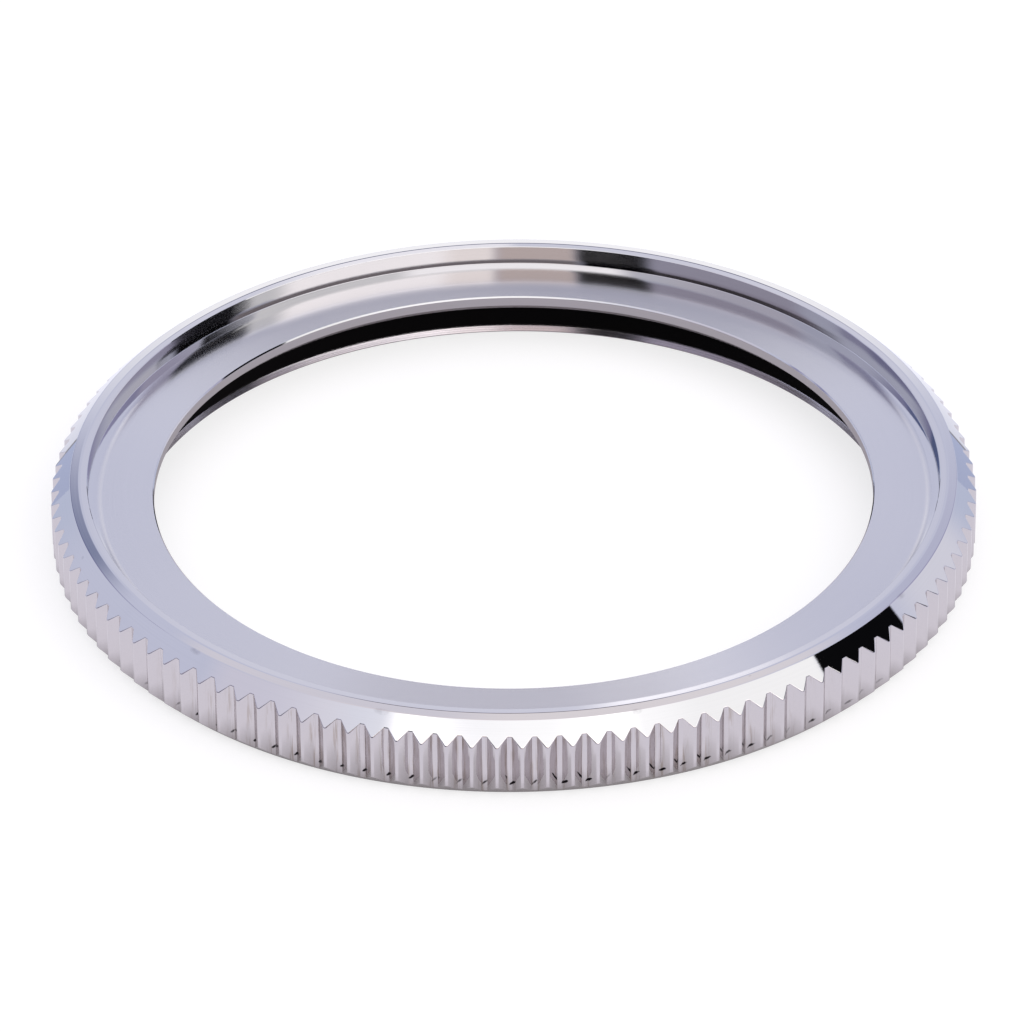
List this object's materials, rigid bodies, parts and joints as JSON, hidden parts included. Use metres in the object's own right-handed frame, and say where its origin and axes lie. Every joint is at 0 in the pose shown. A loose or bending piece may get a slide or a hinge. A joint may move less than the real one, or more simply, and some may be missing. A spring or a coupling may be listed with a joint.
{
  "type": "watch bezel",
  "caption": "Coin-edged rotating bezel ring for a divers' watch, with a conical bevel, an open insert seat, a ratchet track underneath and a black gasket in its lower groove.",
  "frame": {"origin": "on the ring's axis, in the plane of the foot that the ring lies on", "axes": "+Z along the ring's axis, out of the insert seat; -Y is the side nearest the camera in the picture"},
  "size_m": [0.0414, 0.0414, 0.0036],
  "materials": {
    "polished_steel": "turned stainless steel: mirror-polished bevel, coin edge and seat wall, fine satin seat floor",
    "black_gasket": "smooth matt black, moulded"
  },
  "bodies": {
    "gasket": {"bezel_gasket": "black_gasket"},
    "ring": {"bezel_ring": "polished_steel"}
  },
  "joints": [
    {"name": "bezel_turn", "type": "hinge", "parent": "gasket", "child": "ring", "pos_m": [0, 0, 0.00113], "axis": [0, 0, 1], "continuous": true}
  ]
}
